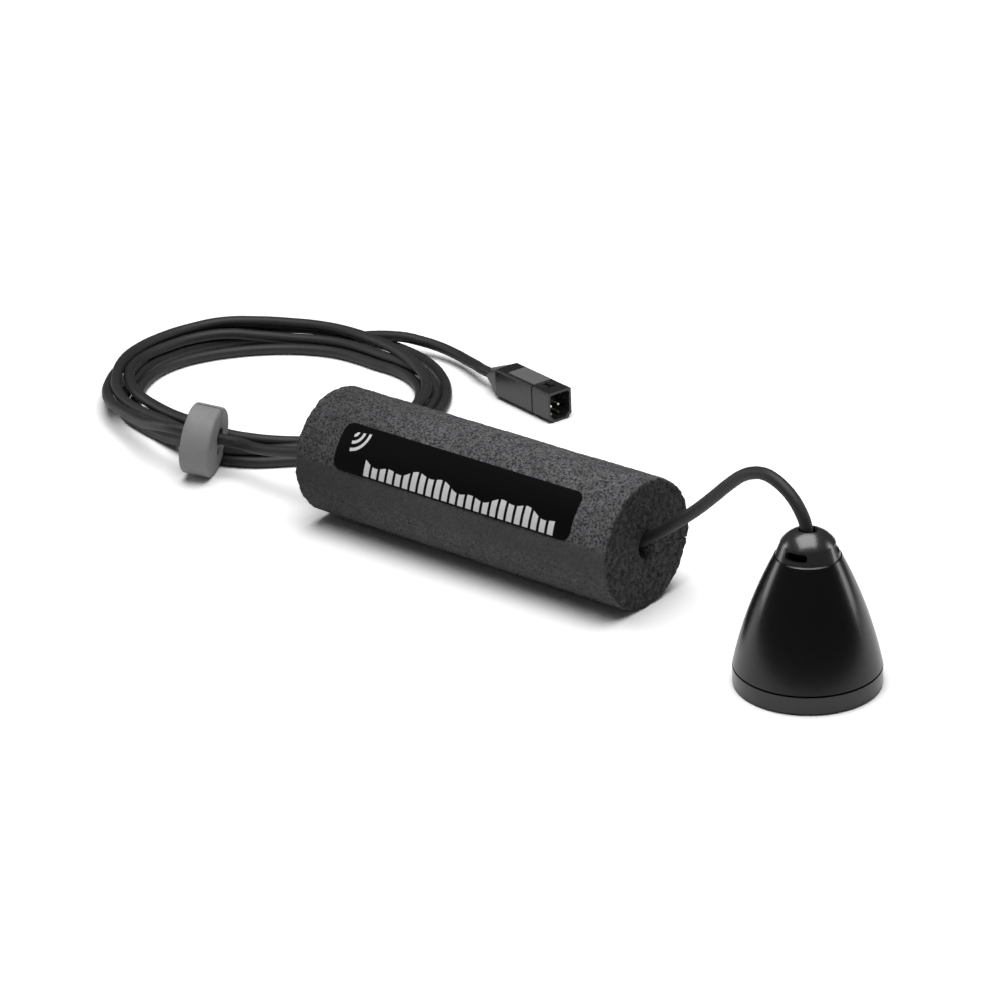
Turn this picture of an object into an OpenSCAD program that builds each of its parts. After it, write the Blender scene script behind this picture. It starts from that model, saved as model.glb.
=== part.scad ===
// Portable sonar transducer: a ballasted cone on its sounding face, with a foam float,
// a rubber depth stopper, a coiled cable and a rectangular plug.
// Millimetres, +Z up. The origin is the centre of the sounding face.

/* [Cone housing] */
// Largest diameter of the cone, at its lower edge
housing_d = 60; // [54:0.5:70]
// Height of the cone, from the seam to the cap's seat
housing_h = 48; // [42:1:56]
// Diameter of the cone at the cap's seat
cone_top_d = 26.4; // [25:0.2:30]
// How far the cone's side bulges past a straight line
cone_bulge = 1.7; // [0.8:0.1:2.6]
// Wall of the cone
housing_wall = 2.8; // [2.2:0.1:3.4]
// Chamfer on the cone's lower and upper edges
housing_chamfer = 0.5; // [0.3:0.1:0.8]

/* [Sounding face] */
// Diameter of the grey lower band
cup_d = 60; // [53:0.1:69]
// Height of the grey lower band
cup_h = 7.9; // [6:0.1:10]
// Chamfer around the face's edge
cup_chamfer = 0.8; // [0.4:0.1:1.2]
// Shadow gap between the band and the cone
seam_gap = 0.4; // [0.2:0.1:0.8]
// Thickness of the sounding face
face_t = 2.5; // [1.5:0.1:4]
// Diameter of the spigot that enters the cone
spigot_d = 51.2; // [47:0.2:52]
// Wall of the spigot
spigot_wall = 1.6; // [1.2:0.1:2]
// Depth of the seal's groove in the spigot
seal_groove = 1; // [0.7:0.1:1.1]

/* [Sensor] */
// Diameter of the ceramic disc
disc_d = 34; // [24:1:36]
// Thickness of the ceramic disc
disc_t = 8; // [5:0.5:9]
// Wall of the cork ring around the ceramic
isolation_t = 3; // [2:0.5:3]
// Thickness of the cork pad behind the ceramic
pad_t = 3; // [2:0.5:4]
// Resin above the cork pad
potting_cover = 2.5; // [2:0.1:4]
// Diameter of the terminal board
board_d = 20; // [16:1:22]
// Thickness of the terminal board
board_t = 1.6; // [1:0.1:2.4]
// Diameter of the two leads to the ceramic
lead_d = 1; // [0.8:0.1:1.4]
// Distance of each ceramic lead from the axis
lead_offset = 6; // [5:0.5:7]
// Diameter of the temperature sensor
thermo_d = 2.5; // [2:0.1:3]
// Height of the temperature sensor
thermo_h = 5; // [3:0.5:6]
// Diameter of a cable core
core_d = 1.4; // [1:0.1:1.5]
// Diameter of a solder tab
tab_d = 2; // [1.6:0.1:2.1]
// Height of a solder tab
tab_h = 1.2; // [0.8:0.1:2]
// Height of the ballast weight
ballast_h = 22; // [12:1:24]
// Clear diameter around the board in the ballast weight
ballast_bore_d = 23; // [23:0.5:26]

/* [Cap and gland] */
// Diameter of the cap's lower edge
cap_d = 25.8; // [25:0.1:26.2]
// Diameter of the cap's shoulder
cap_shoulder_d = 21.6; // [20:0.2:22.4]
// Height of the cap's shoulder above its seat
cap_shoulder_h = 5.6; // [5.2:0.1:7]
// Height of the cap's mouth above its shoulder
cap_dome_h = 4.9; // [4:0.1:5.6]
// Diameter of the cap's mouth
cap_mouth_d = 7.6; // [7.2:0.1:9]
// Wall of the cap
cap_wall = 1.4; // [1:0.1:1.6]
// Number of drain windows
window_count = 3; // [2:1:4]
// Width of a drain window
window_w = 9.5; // [7:0.1:10]
// Height of a drain window
window_h = 3.4; // [2.6:0.1:3.6]
// Height of a window's middle above the cap's seat
window_z = 2.9; // [2.7:0.1:3.2]
// Direction of the first drain window
window_turn = -80; // [-180:5:180]
// Height of the ring that centres the cap
cap_spigot_h = 0.8; // [0.5:0.1:1]
// Outer diameter of the neck
neck_d = 12.4; // [11.8:0.2:13]
// Bore of the neck
neck_bore_d = 9; // [8:0.2:9.6]
// Height of the neck above the cap's seat
neck_h = 3; // [2.4:0.1:3.4]
// Thickness of the grommet's flange
grommet_flange_t = 1.2; // [0.8:0.1:1.4]
// Wall of the gland nut
nut_wall = 1.1; // [0.9:0.1:1.3]
// Hole in the gland nut
nut_hole_d = 6.8; // [6:0.1:7.4]
// Outer diameter of the ferrule crimped on the cable
ferrule_d = 11; // [10:0.2:13]
// Length of the ferrule
ferrule_h = 4; // [3:0.5:5]

/* [Cable] */
// Diameter of the cable
cable_d = 5.2; // [4.6:0.1:5.6]
// Length of cable below the ferrule
cable_end_l = 6; // [3:0.5:8]

/* [Float] */
// Diameter of the foam float
float_d = 57; // [56.6:0.1:57.4]
// Length of the foam float
float_l = 172; // [150:1:176]
// Bore of the float
float_bore_d = 12; // [11.8:0.1:13]
// Chamfer on the float's ends
float_chamfer = 1.2; // [0.5:0.1:3]
// Width of the slit
slit_w = 0.8; // [0.4:0.1:1.4]
// How far below level the slit points, in degrees
slit_tilt = 14; // [0:1:20]
// Place of the float's end that faces the cone
float_x = -92; // [-94:0.5:-90]
// Distance of the float's axis from the cone's axis
float_y = 16; // [15.5:0.1:16.5]

/* [Label] */
// Length of the label
label_l = 130; // [80:1:140]
// Width of the label, measured straight across
label_w = 21.5; // [14:0.5:26]
// Corner radius of the label
label_corner = 4; // [1:0.5:6]
// Thickness of the label
label_t = 0.3; // [0.2:0.05:0.5]
// Height angle of the label's middle
label_tilt = 35; // [10:1:60]
// Distance of the label from the float's end that faces the cone
label_inset = 19.5; // [6:0.5:20]

/* [Stopper] */
// Diameter of the stopper
stopper_d = 32.6; // [30:0.2:36]
// Thickness of the stopper
stopper_t = 13.6; // [11:0.2:15]
// Edge radius of the stopper
stopper_edge = 1.5; // [0.5:0.1:2.5]
// Hole that the cable runs through
stopper_hole_d = 8.4; // [7.8:0.1:8.8]
// Second hole, for parking the cable's end
stopper_hole2_d = 4.4; // [3:0.1:4.6]
// Distance between the two holes
stopper_hole_gap = 7.2; // [7:0.1:7.8]
// Width of the stopper's slit
stopper_slit_w = 0.9; // [0.4:0.1:1.2]

/* [Coil] */
// Inner diameter of the coil
coil_inner_d = 118; // [110:1:124]
// Width of the coil's bundle
coil_w = 29; // [24:1:30]
// Height of the lower turns
coil_h = 9.6; // [9:0.1:9.6]
// Width of the top turn
coil_top_w = 11; // [8:0.5:12]
// Distance of the top turn from the bundle's outer edge
coil_top_inset = 0.6; // [0.4:0.1:1.2]
// Chamfer along the bundle's edges
coil_chamfer = 2; // [1:0.1:2]

/* [Plug] */
// Width of the plug
plug_w = 13.6; // [12.6:0.1:15]
// Height of the plug
plug_h = 15.2; // [14.8:0.1:15.6]
// Length of the front shroud
shroud_l = 12; // [11.5:0.1:14]
// Wall of the shroud
shroud_wall = 1.2; // [0.9:0.1:1.5]
// Chamfer on the plug's lower edges
plug_key = 2.4; // [1.6:0.1:3]
// Chamfer on the plug's upper edges
plug_edge = 0.7; // [0.4:0.1:1.2]
// Groove between shroud and body
groove_w = 0.8; // [0.5:0.1:1.2]
// Depth of that groove
groove_depth = 0.6; // [0.3:0.1:0.9]
// Length of the plug's body
plug_body_l = 28.4; // [24:0.2:30]
// Length of the boot behind the body
boot_l = 11; // [10.8:0.1:11.2]
// Outer diameter of the boot at the cable
boot_tip_d = 7; // [6:0.1:9]
// Length of the boot's round tip
boot_tip_l = 5; // [3:0.5:6]
// Step between the plug's body and its boot
boot_step = 0.4; // [0.2:0.1:0.8]
// Length of the raised cover on the plug's top
cover_l = 19.5; // [12:0.5:20]
// Width of the raised cover
cover_w = 10; // [7:0.1:10.4]
// Height that the cover stands proud
cover_proud = 0.6; // [0.3:0.1:1]
// Depth of the cover's seat
cover_seat = 0.8; // [0.4:0.1:1.2]
// Diameter of a contact pin
pin_d = 1.1; // [0.8:0.1:1.4]
// Length of a pin in front of the block
pin_l = 6.2; // [4:0.2:6.6]
// Distance between pins, across
pin_gap_y = 4.4; // [3:0.1:4.6]
// Distance between pins, up and down
pin_gap_z = 4; // [3:0.1:4.2]
// Height of the plug's middle above the pins' upper row
pin_drop = 1; // [0.4:0.1:1.2]
// Thickness of the seal at the foot of the shroud
plug_seal_t = 0.8; // [0.5:0.1:1.2]
// Thickness of the block that carries the pins
pin_block_t = 1; // [0.8:0.1:1.6]
// Width of the latch slot's bar, on the shroud's top
latch_w = 5; // [4:0.1:5.6]
// Width of the latch slot's stem
latch_stem_w = 2.4; // [1.6:0.1:2.8]
// Length of the latch slot
latch_l = 6; // [5:0.1:7]
// Length of the latch slot's bar
latch_bar_l = 2; // [1.4:0.1:2.4]

/* [Hidden] */
$fn = 64;
arc_fn = 720;
fit_gap = 0.05;
soft_gap = 0.3;
cut = 0.5;
tube_sides = 10;

// Heights up the cone
seam_z = cup_h + seam_gap;
seat_z = seam_z + housing_h;
disc_z = face_t + disc_t;
pad_z = disc_z + pad_t;
potting_z = pad_z + potting_cover;
board_z = potting_z + board_t;
tab_z = board_z + tab_h;

// The cone's side is an arc through its lower and upper edges
cone_r0 = housing_d / 2;
cone_r1 = cone_top_d / 2;
chord = norm([cone_r0 - cone_r1, housing_h]);
arc_r = (chord * chord / 4 + cone_bulge * cone_bulge) / (2 * cone_bulge);
arc_back = (arc_r - cone_bulge) / chord;
arc_x = (cone_r0 + cone_r1) / 2 - housing_h * arc_back;
arc_z = (seam_z + seat_z) / 2 - (cone_r0 - cone_r1) * arc_back;
function cone_inside(z) = arc_x + sqrt(pow(arc_r - housing_wall, 2) - pow(z - arc_z, 2));

// The cup's spigot and the cone's step above it
cup_r = cup_d / 2;
spigot_r = spigot_d / 2;
cavity_r = spigot_r - spigot_wall;
land_r = (spigot_r + cup_r) / 2;
step_z = potting_z + soft_gap;
seal_h = seal_groove + fit_gap;
seal_z = (seam_z + potting_z) / 2;

// Inside the cup
isolation_r = disc_d / 2 + isolation_t;
thermo_r = cavity_r - thermo_d / 2 - soft_gap;
thermo_z = face_t + thermo_h;
sensor_wire_d = 0.8;
sensor_wire_z = pad_z + potting_cover / 2;
sensor_pad_inset = 1.5;
sensor_pad_r = board_d / 2 - sensor_pad_inset;
core_spread = 0.9;
core_r = core_d * core_spread;

// The gland and the cable's end
neck_z = seat_z + neck_h;
grommet_z = neck_z + grommet_flange_t;
nut_z = grommet_z + nut_wall;
roof_z = seat_z - housing_wall;
ferrule_z = roof_z - ferrule_h;
cable_end_z = ferrule_z - cable_end_l;
cable_r = cable_d / 2;

// The cap's dome is part of a sphere through shoulder and mouth
shoulder_r = cap_shoulder_d / 2;
mouth_r = cap_mouth_d / 2;
dome_drop = (shoulder_r * shoulder_r - mouth_r * mouth_r) / (2 * cap_dome_h) - cap_dome_h / 2;
dome_r = norm([shoulder_r, dome_drop]);
dome_z = seat_z + cap_shoulder_h - dome_drop;
cap_slope = (cap_d / 2 - shoulder_r) / cap_shoulder_h;
cap_bore_r = cap_d / 2 - cap_wall - cap_spigot_h * cap_slope;

// The float lies on the floor, and the cable lies in its bore
float_z = float_d / 2;
float_end_x = float_x - float_l;
cable_bore_z = float_z - float_bore_d / 2 + cable_r + soft_gap;
float_lead = 24;

// The stopper leans against the coil
stopper_at = [-338.2, 6.7];
stopper_turn = 26;
stopper_lean = 9;
stopper_z = stopper_d / 2 * cos(stopper_lean) + (stopper_t / 2 - stopper_edge) * sin(stopper_lean);

// The cable's hole, from the stopper's middle
stopper_up = 2.6;
stopper_side = 2;

// The coil
coil_at = [-370, 84];
coil_r0 = coil_inner_d / 2;
coil_r1 = coil_r0 + coil_w;
coil_top_r1 = coil_r1 - coil_top_inset;
coil_top_r = coil_top_r1 - coil_top_w / 2;
coil_in_turn = 250;
coil_out_turn = 92;

// The plug, from its mouth to the cable
plug_at = [-244.3, 147.4];
plug_turn = -12.9;
groove_x = -shroud_l;
body_x = groove_x - plug_body_l;
boot_x = body_x - boot_l;
plug_z = plug_h / 2;
block_x = groove_x + plug_seal_t;
block_face_x = block_x + pin_block_t;

// Routes of the free cable: a list of points for each stretch that isn't coiled
arc_route = [
    [0, 0, grommet_z],
    [0, 0, grommet_z + 1.5],
    [-0.5, 0.1, 65.5],
    [-1.5, 0.3, 69],
    [-3.5, 0.6, 72.5],
    [-7, 1.2, 76.5],
    [-12, 2, 80],
    [-18, 3, 82.3],
    [-24, 4.2, 82.8],
    [-30, 5.2, 81.3],
    [-36, 6.3, 78.2],
    [-43, 7.5, 72.5],
    [-52, 9, 64],
    [-62, 10.8, 54.8],
    [-72, 12.5, 46.5],
    [-82, 14.2, 38.8],
    [-92, float_y, 31.6],
    [-97, float_y, 28.6],
    [-102, float_y, 26.6],
    [-107, float_y, 25.8],
    [float_x - float_lead + 4, float_y, cable_bore_z],
    [float_x - float_lead, float_y, cable_bore_z],
];
exit_route = [
    [float_end_x, float_y, cable_bore_z],
    [float_end_x - 3, float_y, cable_bore_z],
    [-276, 15, 24],
    [-287, 13.2, 21.6],
    [-299, 11.8, 19.6],
    [-311, 12, 17.8],
    stopper_point(stopper_t),
    stopper_point(0),
    stopper_point(-stopper_t),
    [-362, 1.4, 19.6],
    [-373, 2.4, 17],
    [-385, 4.4, 14],
    coil_point(coil_in_turn) - 3 * coil_heading(coil_in_turn),
    coil_point(coil_in_turn),
];
tail_route = [
    coil_point(coil_out_turn),
    coil_point(coil_out_turn) + 3 * coil_heading(coil_out_turn),
    [-360, 168.4, 12.5],
    [-350, 171.8, 11.5],
    [-339, 173, 8],
    [-328, 171.2, 5.9],
    [-317, 167.6, 6.1],
    plug_point(boot_x - 9),
    plug_point(boot_x - 3),
    plug_point(boot_x),
];

// Place and direction of the cable where it meets the coil's top turn
function coil_point(turn) = [
    coil_at[0] + coil_top_r * cos(turn),
    coil_at[1] + coil_top_r * sin(turn),
    coil_h + cable_r
];
function coil_heading(turn) = [sin(turn), -cos(turn), 0];

// A point of the cable where it lies low in the stopper's hole
function stopper_point(along) =
    let (
        rise = stopper_up - (stopper_hole_d / 2 - cable_r - soft_gap),
        across = along * cos(stopper_lean) + rise * sin(stopper_lean)
    )
    [
        stopper_at[0] + across * cos(stopper_turn) - stopper_side * sin(stopper_turn),
        stopper_at[1] + across * sin(stopper_turn) + stopper_side * cos(stopper_turn),
        stopper_z + rise * cos(stopper_lean) - along * sin(stopper_lean)
    ];

// A point on the plug's axis
function plug_point(x) = [
    plug_at[0] + x * cos(plug_turn),
    plug_at[1] + x * sin(plug_turn),
    plug_z
];

// Rings of a tube along a route
function unit(v) = v / norm(v);
function heading(route, i) =
    unit(route[min(i + 1, len(route) - 1)] - route[max(i - 1, 0)]);
function ring(centre, along, side) =
    let (u = unit(cross(along, side)), v = cross(along, u))
    [for (k = [0 : tube_sides - 1])
        centre + cable_r * (cos(k * 360 / tube_sides) * u + sin(k * 360 / tube_sides) * v)];

module cable_tube(route, side) {
    last = len(route) - 1;
    rings = [for (i = [0 : last]) each ring(route[i], heading(route, i), side)];
    walls = [for (i = [0 : last - 1], k = [0 : tube_sides - 1])
        let (a = i * tube_sides, b = a + tube_sides, n = (k + 1) % tube_sides)
        each [[a + k, b + k, a + n], [a + n, b + k, b + n]]];
    caps = [
        [for (k = [0 : tube_sides - 1]) k],
        [for (k = [tube_sides - 1 : -1 : 0]) last * tube_sides + k]
    ];
    color("#2b2b2d") polyhedron(concat(rings), concat(walls, caps));
}

module ring_solid(outer_r, inner_r, z0, z1) {
    translate([0, 0, z0]) difference() {
        cylinder(r = outer_r, h = z1 - z0);
        translate([0, 0, -cut]) cylinder(r = inner_r, h = z1 - z0 + 2 * cut);
    }
}

module post(x, y, d, z0, z1) {
    translate([x, y, z0]) cylinder(d = d, h = z1 - z0);
}

module cone_housing() {
    color("#141416") difference() {
        union() {
            rotate_extrude() difference() {
                intersection() {
                    translate([arc_x, arc_z]) circle(r = arc_r, $fn = arc_fn);
                    polygon([
                        [0, seam_z], [cone_r0 - housing_chamfer, seam_z],
                        [cone_r0, seam_z + housing_chamfer], [cone_r0, seat_z - housing_chamfer],
                        [cone_r1, seat_z - housing_chamfer], [cone_r1 - housing_chamfer, seat_z],
                        [0, seat_z]
                    ]);
                }
                intersection() {
                    translate([arc_x, arc_z]) circle(r = arc_r - housing_wall, $fn = arc_fn);
                    translate([0, seam_z]) square([cone_r0, roof_z - seam_z]);
                }
            }
            post(0, 0, 2 * (cap_bore_r - fit_gap), seat_z, seat_z + cap_spigot_h);
            post(0, 0, neck_d, seat_z, neck_z);
        }
        post(0, 0, spigot_d + 2 * fit_gap, seam_z - cut, step_z);
        post(0, 0, neck_bore_d, roof_z - cut, neck_z + cut);
    }
}

module acoustic_face_cup() {
    color("#4a4a4d") difference() {
        rotate_extrude() polygon([
            [0, 0], [cup_r - cup_chamfer, 0], [cup_r, cup_chamfer], [cup_r, cup_h],
            [land_r, cup_h], [land_r, seam_z], [spigot_r, seam_z], [spigot_r, potting_z],
            [cavity_r, potting_z], [cavity_r, face_t], [0, face_t]
        ]);
        ring_solid(spigot_r + cut, spigot_r - seal_groove, seal_z - seal_h / 2, seal_z + seal_h / 2);
    }
}

module face_seal() {
    color("#1b1b1b") rotate_extrude()
        translate([spigot_r - seal_groove + seal_h / 2, seal_z]) circle(d = seal_h);
}

module piezo_disc() {
    color("#cfc4a4") post(0, 0, disc_d, face_t, disc_z);
}

// Clears the cork where it reaches as far out as the temperature sensor and its lead
module sensor_notch() {
    post(0, thermo_r, thermo_d + 2 * fit_gap, face_t - cut, thermo_z + fit_gap);
    post(0, thermo_r, sensor_wire_d + 2 * fit_gap, thermo_z, pad_z + cut);
}

module isolation_ring() {
    color("#a37a4d") difference() {
        ring_solid(isolation_r, disc_d / 2, face_t, disc_z);
        sensor_notch();
    }
}

module backing_pad() {
    color("#8f6a41") difference() {
        post(0, 0, 2 * isolation_r, disc_z, pad_z);
        lead_pair(disc_z - cut, pad_z + cut);
        sensor_notch();
    }
}

module lead_pair(z0, z1) {
    for (side = [-1, 1]) post(side * lead_offset, 0, lead_d, z0, z1);
}

module sensor_wire(top_z) {
    post(0, thermo_r, sensor_wire_d, thermo_z, sensor_wire_z);
    translate([0, thermo_r, sensor_wire_z]) sphere(d = sensor_wire_d);
    translate([0, sensor_pad_r, sensor_wire_z]) rotate([-90, 0, 0])
        cylinder(d = sensor_wire_d, h = thermo_r - sensor_pad_r);
    translate([0, sensor_pad_r, sensor_wire_z]) sphere(d = sensor_wire_d);
    post(0, sensor_pad_r, sensor_wire_d, sensor_wire_z, top_z);
}

module potting_compound() {
    color("#26272b") difference() {
        post(0, 0, 2 * cavity_r, face_t, potting_z);
        post(0, 0, 2 * isolation_r, face_t - cut, pad_z);
        lead_pair(pad_z - cut, potting_z + cut);
        post(0, thermo_r, thermo_d, face_t - cut, thermo_z);
        sensor_wire(potting_z + cut);
    }
}

module disc_leads() {
    color("#b3202a") lead_pair(disc_z, potting_z);
}

module temperature_sensor() {
    color("#3c5a3c") post(0, thermo_r, thermo_d, face_t, thermo_z);
}

module sensor_lead() {
    color("#d8d8d8") sensor_wire(potting_z);
}

module terminal_board() {
    color("#2f6b3a") post(0, 0, board_d, potting_z, board_z);
}

module core_posts(d, z0, z1) {
    for (k = [0 : 2])
        rotate([0, 0, k * 120]) post(core_r, 0, d, z0, z1);
}

module solder_tabs() {
    color("#b8bcc0") core_posts(tab_d, board_z, tab_z);
}

module core_wires() {
    color("#c9a227") core_posts(core_d, tab_z, cable_end_z);
}

module ballast_weight() {
    ballast_z = potting_z + ballast_h;
    color("#8a8d91") difference() {
        translate([0, 0, potting_z]) cylinder(
            r1 = cone_inside(potting_z) - soft_gap,
            r2 = cone_inside(ballast_z) - soft_gap,
            h = ballast_h
        );
        post(0, 0, ballast_bore_d, potting_z - cut, ballast_z + cut);
    }
}

module cable_ferrule() {
    color("#b8bcc0") ring_solid(ferrule_d / 2, cable_r, ferrule_z, roof_z);
}

module cable_grommet() {
    color("#202022") difference() {
        union() {
            post(0, 0, neck_bore_d, roof_z, neck_z);
            post(0, 0, neck_d, neck_z, grommet_z);
        }
        post(0, 0, cable_d, roof_z - cut, grommet_z + cut);
    }
}

module gland_nut() {
    color("#303034") difference() {
        post(0, 0, neck_d + 2 * nut_wall, seat_z + cap_spigot_h, nut_z);
        post(0, 0, neck_d, seat_z, grommet_z);
        post(0, 0, nut_hole_d, grommet_z - cut, nut_z + cut);
    }
}

module cap_form(shrink, foot) {
    reach = cap_shoulder_h + cap_dome_h + cut;
    intersection() {
        translate([0, 0, seat_z - foot]) cylinder(
            r1 = cap_d / 2 - shrink + foot * cap_slope,
            r2 = cap_d / 2 - shrink - reach * cap_slope,
            h = reach + foot
        );
        translate([0, 0, dome_z]) sphere(r = dome_r - shrink, $fn = 96);
    }
}

module top_cap() {
    color("#1c1c1f") difference() {
        cap_form(0, 0);
        cap_form(cap_wall, cut);
        post(0, 0, 2 * cap_bore_r, seat_z - cut, seat_z + cap_spigot_h);
        post(0, 0, cap_mouth_d, seat_z, seat_z + cap_shoulder_h + 2 * cap_dome_h);
        for (k = [0 : window_count - 1])
            rotate([0, 0, window_turn + k * 360 / window_count])
                translate([cap_bore_r - 3 * cap_wall, 0, seat_z + window_z]) window_cut();
    }
}

module window_cut() {
    flat = window_w - window_h;
    rotate([90, 0, 90]) linear_extrude(6 * cap_wall) union() {
        square([flat, window_h], center = true);
        for (side = [-1, 1]) translate([side * flat / 2, 0]) circle(d = window_h);
    }
}

module cable_entry() {
    color("#2b2b2d") post(0, 0, cable_d, cable_end_z, grommet_z);
}

module cable_arc() {
    cable_tube(arc_route, [0, 1, 0]);
}

module cable_in_float() {
    color("#2b2b2d") translate([float_end_x, float_y, cable_bore_z]) rotate([0, 90, 0])
        cylinder(d = cable_d, h = float_l - float_lead);
}

module foam_float() {
    color("#55565a") translate([float_end_x, float_y, float_z]) rotate([0, 90, 0]) difference() {
        rotate_extrude() polygon([
            [float_bore_d / 2, 0], [float_d / 2 - float_chamfer, 0], [float_d / 2, float_chamfer],
            [float_d / 2, float_l - float_chamfer], [float_d / 2 - float_chamfer, float_l],
            [float_bore_d / 2, float_l]
        ]);
        rotate([0, 0, -slit_tilt]) translate([-slit_w / 2, 0, -cut])
            cube([slit_w, float_d, float_l + 2 * cut]);
    }
}

module rounded_plate(l, w, r) {
    square([l - 2 * r, w], center = true);
    square([l, w - 2 * r], center = true);
    for (x = [-1, 1], y = [-1, 1])
        translate([x * (l / 2 - r), y * (w / 2 - r)]) circle(r = r);
}

module float_label() {
    color("#0d0d0e") translate([float_x - label_inset - label_l / 2, float_y, float_z])
        rotate([90 - label_tilt, 0, 0]) intersection() {
            rotate([0, 90, 0]) difference() {
                cylinder(d = float_d + 2 * label_t, h = label_l + 2 * cut, center = true, $fn = 128);
                cylinder(d = float_d, h = label_l + 4 * cut, center = true, $fn = 128);
            }
            linear_extrude(float_d) rounded_plate(label_l, label_w, label_corner);
        }
}

module cable_float_exit() {
    cable_tube(exit_route, [0, 0, 1]);
}

module at_stopper() {
    translate([stopper_at[0], stopper_at[1], stopper_z])
        rotate([0, 90 + stopper_lean, stopper_turn]) children();
}

module cable_stopper() {
    r = stopper_d / 2;
    e = stopper_edge;
    color("#7c7c7e") at_stopper() difference() {
        rotate_extrude() union() {
            translate([0, -stopper_t / 2]) square([r - e, stopper_t]);
            translate([0, e - stopper_t / 2]) square([r, stopper_t - 2 * e]);
            for (side = [-1, 1]) translate([r - e, side * (stopper_t / 2 - e)]) circle(r = e);
        }
        translate([-stopper_up, stopper_side, 0]) {
            cylinder(d = stopper_hole_d, h = 2 * stopper_t, center = true);
            translate([stopper_hole_gap, 0, 0])
                cylinder(d = stopper_hole2_d, h = 2 * stopper_t, center = true);
            translate([-stopper_d, -stopper_slit_w / 2, -stopper_t])
                cube([stopper_d, stopper_slit_w, 2 * stopper_t]);
        }
    }
}

module bundle(inner_r, outer_r, z0, z1) {
    c = coil_chamfer;
    polygon([
        [inner_r, z0], [outer_r, z0], [outer_r, z1 - c], [outer_r - c, z1],
        [inner_r + c, z1], [inner_r, z1 - c]
    ]);
}

// The turns part around the stopper, which stands in a notch of the bundle
module cable_coil() {
    notch_w = stopper_t + 2 * soft_gap;
    notch_y = stopper_d / 2 + soft_gap;
    color("#333336") difference() {
        translate([coil_at[0], coil_at[1], 0]) union() {
            rotate_extrude($fn = 96) bundle(coil_r0, coil_r1, 0, coil_h);
            rotate([0, 0, coil_out_turn]) rotate_extrude(angle = coil_in_turn - coil_out_turn, $fn = 96)
                bundle(coil_top_r1 - coil_top_w, coil_top_r1, coil_h - coil_chamfer, coil_h + cable_d);
        }
        at_stopper() translate([-stopper_d, notch_y - 2 * stopper_d, -notch_w / 2])
            cube([2 * stopper_d, 2 * stopper_d, notch_w]);
    }
}

module cable_tail() {
    cable_tube(tail_route, [0, 0, 1]);
}

module at_plug() {
    translate([plug_at[0], plug_at[1], 0]) rotate([0, 0, plug_turn]) children();
}

// Section of the plug, across (x) and up (y), with keyed lower corners
module plug_section(inset) {
    w = plug_w / 2 - inset;
    top = plug_h - inset;
    polygon([
        [-w + plug_key, inset], [w - plug_key, inset], [w, plug_key + inset], [w, top - plug_edge],
        [w - plug_edge, top], [-w + plug_edge, top], [-w, top - plug_edge], [-w, plug_key + inset]
    ]);
}

// A stretch of the plug between two places on its axis
module plug_stretch(x0, x1, inset) {
    translate([x0, 0, 0]) rotate([90, 0, 90]) linear_extrude(x1 - x0) plug_section(inset);
}

module cover_form(margin, z0, z1) {
    translate([groove_x - groove_w - cover_l - margin, -cover_w / 2 - margin, z0])
        cube([cover_l + 2 * margin, cover_w + 2 * margin, z1 - z0]);
}

module plug_boot() {
    color("#202023") at_plug() hull() {
        plug_stretch(body_x - boot_step, body_x, boot_step);
        translate([boot_x, 0, plug_z]) rotate([0, 90, 0])
            cylinder(d = boot_tip_d, h = boot_tip_l, $fn = 32);
    }
}

module plug_body() {
    color("#26262a") at_plug() difference() {
        union() {
            plug_stretch(body_x, groove_x - groove_w, 0);
            plug_stretch(groove_x - groove_w, groove_x, groove_depth);
        }
        cover_form(0, plug_h - cover_seat, plug_h + cut);
    }
}

module plug_cover() {
    color("#5a5a5e") at_plug() cover_form(0, plug_h - cover_seat, plug_h + cover_proud);
}

module latch_cut(x0, x1, w) {
    translate([groove_x + x0, -w / 2, plug_h - 2 * shroud_wall]) cube([x1 - x0, w, 3 * shroud_wall]);
}

module plug_shroud() {
    color("#26262a") at_plug() difference() {
        plug_stretch(groove_x, 0, 0);
        plug_stretch(groove_x - cut, cut, shroud_wall);
        latch_cut(-cut, latch_l, latch_stem_w);
        latch_cut(latch_l - latch_bar_l, latch_l, latch_w);
    }
}

module pin_grid(d, x0, x1) {
    for (y = [-0.5, 0.5], z = [-1, 0])
        translate([x0, y * pin_gap_y, plug_z - pin_drop + z * pin_gap_z]) rotate([0, 90, 0])
            cylinder(d = d, h = x1 - x0, $fn = 24);
}

module plug_seal() {
    color("#8c2f22") at_plug() difference() {
        plug_stretch(groove_x, block_x, shroud_wall);
        pin_grid(pin_d, groove_x - cut, block_x + cut);
    }
}

module pin_block() {
    color("#111113") at_plug() difference() {
        plug_stretch(block_x, block_face_x, shroud_wall);
        pin_grid(pin_d, block_x - cut, block_face_x + cut);
    }
}

module contact_pins() {
    color("#d9c27a") at_plug() pin_grid(pin_d, groove_x, block_face_x + pin_l);
}

cone_housing();
acoustic_face_cup();
face_seal();
piezo_disc();
isolation_ring();
backing_pad();
potting_compound();
disc_leads();
temperature_sensor();
sensor_lead();
terminal_board();
solder_tabs();
core_wires();
ballast_weight();
cable_ferrule();
cable_grommet();
gland_nut();
top_cap();
cable_entry();
cable_arc();
cable_in_float();
foam_float();
float_label();
cable_float_exit();
cable_stopper();
cable_coil();
cable_tail();
plug_boot();
plug_body();
plug_cover();
plug_shroud();
plug_seal();
pin_block();
contact_pins();
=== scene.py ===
"""Looks of a portable sonar transducer: cone housing, foam float, stopper, coiled cable and plug."""
import math

import bmesh
import bpy
from mathutils import Matrix, Vector, noise


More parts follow.
